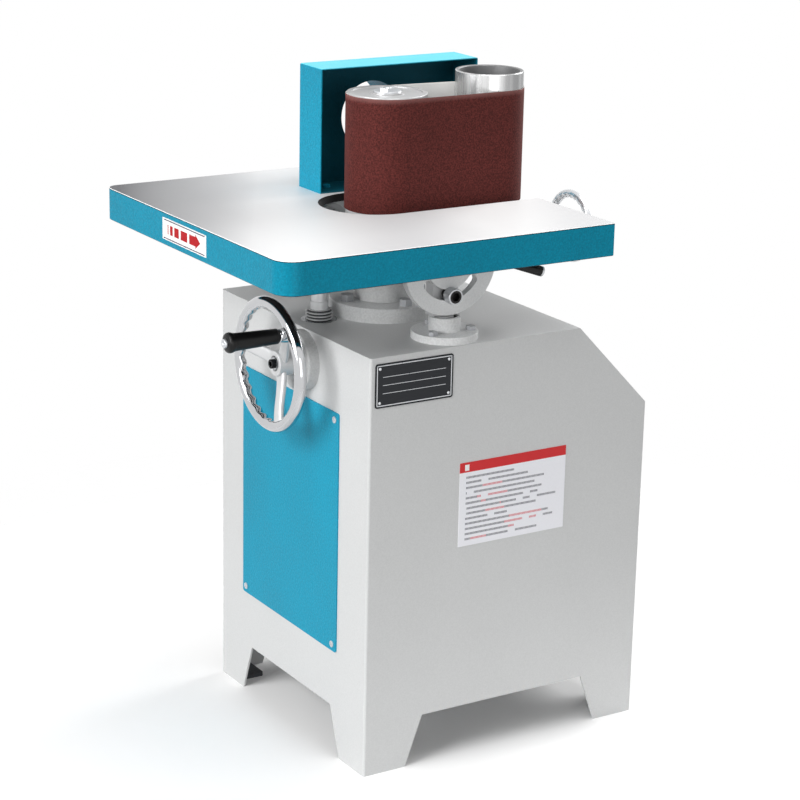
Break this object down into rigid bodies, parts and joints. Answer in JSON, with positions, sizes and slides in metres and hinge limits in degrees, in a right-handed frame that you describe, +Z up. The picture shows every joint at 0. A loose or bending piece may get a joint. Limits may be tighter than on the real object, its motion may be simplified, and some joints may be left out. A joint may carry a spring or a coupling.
{
  "type": "stationary edge belt sander",
  "caption": "Floor-standing edge belt sander: sheet cabinet with a motor-driven upright belt, idler and platen, a lifting and tilting table, dust hood and handwheels.",
  "frame": {"origin": "on the floor, at the middle of the rectangle of anchor holes under the cabinet", "axes": "+Z up; +X to the side with the belt tension handwheel and push buttons; -X to the lift handwheel; +Y to the rear, where the dust port is; -Y to the front, where the belt is used"},
  "size_m": [0.6718, 0.554, 0.994],
  "materials": {
    "grey_paint": "light grey enamel",
    "blue_paint": "teal-blue hammered enamel",
    "dark_paint": "dark grey machine enamel",
    "ground_steel": "ground bright steel",
    "cast_drum": "turned casting",
    "chrome": "polished plating",
    "fastener": "zinc-plated",
    "black_steel": "black oxide",
    "iron_core": "laminated core",
    "black_plastic": "black moulding",
    "abrasive_cloth": "brown abrasive grain on grey cloth",
    "sign_white": "printed film",
    "plate_dark": "dark anodised plate",
    "button_green": "green moulding",
    "button_red": "red moulding"
  },
  "bodies": {
    "frame": {"cabinet_shell": "grey_paint", "cabinet_front": "grey_paint", "cabinet_rear": "grey_paint", "deck_plate": "grey_paint", "foot_plates": "grey_paint", "access_panel": "blue_paint", "wall_screws": "fastener", "name_plate": "plate_dark", "instruction_card": "sign_white", "lift_boss": "grey_paint", "front_guide": "grey_paint", "rear_guide": "grey_paint", "machine_bolts": "fastener", "post_bush": "ground_steel", "spindle_housing": "grey_paint", "shaft_bearings": "ground_steel", "motor_housing": "dark_paint", "motor_end_cover": "dark_paint", "stator": "iron_core", "fan_cover": "dark_paint", "terminal_box": "dark_paint", "tension_arm": "grey_paint", "platen": "ground_steel", "sanding_belt": "abrasive_cloth", "switch_panel": "plate_dark", "cable_gland": "black_plastic"},
    "carriage": {"front_column": "ground_steel", "rear_column": "ground_steel", "rack_post": "ground_steel", "lift_yoke": "dark_paint", "yoke_fixings": "fastener", "tilt_fixings": "fastener"},
    "table": {"table_top": "ground_steel", "table_skirt": "blue_paint", "front_trunnion": "grey_paint", "rear_trunnion": "grey_paint", "table_screws": "fastener", "dust_hood": "blue_paint", "dust_spigot": "blue_paint", "arrow_sign": "sign_white"},
    "lever": {"lock_lever": "black_steel", "lever_grip": "black_plastic"},
    "lift_wheel": {"lift_shaft": "ground_steel", "lift_handwheel": "chrome", "handwheel_fixings": "fastener"},
    "handle": {"handle_grip": "black_plastic"},
    "spindle": {"drive_shaft": "ground_steel", "drive_drum": "cast_drum", "drum_nut_set": "fastener", "rotor": "iron_core", "cooling_fan": "black_plastic"},
    "tension_slide": {"idler_block": "grey_paint", "idler_axle": "ground_steel", "idler_axle_nut": "fastener"},
    "idler": {"idler_drum": "ground_steel", "idler_bearings": "ground_steel"},
    "tension_wheel": {"tension_screw": "ground_steel", "tension_handwheel": "chrome"},
    "start": {"start_button": "button_green"},
    "stop": {"stop_button": "button_red"}
  },
  "joints": [
    {"name": "lift", "type": "slide", "parent": "frame", "child": "carriage", "axis": [0, 0, 1], "range_m": [0, 0.1]},
    {"name": "tilt", "type": "hinge", "parent": "carriage", "child": "table", "pos_m": [-0.089, 0, 0.752], "axis": [0, 1, 0], "range_deg": [0, 28]},
    {"name": "lever_swing", "type": "hinge", "parent": "table", "child": "lever", "pos_m": [-0.089, -0.192, 0.752], "axis": [0, 1, 0], "range_deg": [-15, 0]},
    {"name": "lift_wheel_turn", "type": "hinge", "parent": "frame", "child": "lift_wheel", "pos_m": [-0.28, -0.037, 0.593], "axis": [1, 0, 0], "range_deg": [0, 318.5]},
    {"name": "handle_turn", "type": "hinge", "parent": "lift_wheel", "child": "handle", "pos_m": [-0.35, -0.08328, 0.64816], "axis": [1, 0, 0], "continuous": true},
    {"name": "spindle_turn", "type": "hinge", "parent": "frame", "child": "spindle", "pos_m": [-0.089, 0, 0.8], "axis": [0, 0, 1], "continuous": true},
    {"name": "tension_travel", "type": "slide", "parent": "frame", "child": "tension_slide", "axis": [1, 0, 0], "range_m": [-0.012, 0]},
    {"name": "idler_turn", "type": "hinge", "parent": "tension_slide", "child": "idler", "pos_m": [0.085, -0.008, 0.88], "axis": [0, 0, 1], "continuous": true},
    {"name": "tension_wheel_turn", "type": "hinge", "parent": "tension_slide", "child": "tension_wheel", "pos_m": [0.247, -0.008, 0.737], "axis": [1, 0, 0], "range_deg": [-1081, 0]},
    {"name": "start_press", "type": "slide", "parent": "frame", "child": "start", "axis": [-0.7151, 0, -0.699], "range_m": [0, 0.004], "stiffness_N_per_m": 400, "springref_m": -0.002},
    {"name": "stop_press", "type": "slide", "parent": "frame", "child": "stop", "axis": [-0.7151, 0, -0.699], "range_m": [0, 0.004], "stiffness_N_per_m": 400, "springref_m": -0.002}
  ],
  "couplings": [
    {"joint": "lift_wheel_turn", "follows": "lift", "rad_per_m": 55.556},
    {"joint": "idler_turn", "follows": "spindle_turn", "ratio": 1.1553},
    {"joint": "tension_wheel_turn", "follows": "tension_travel", "rad_per_m": 1570.8}
  ]
}
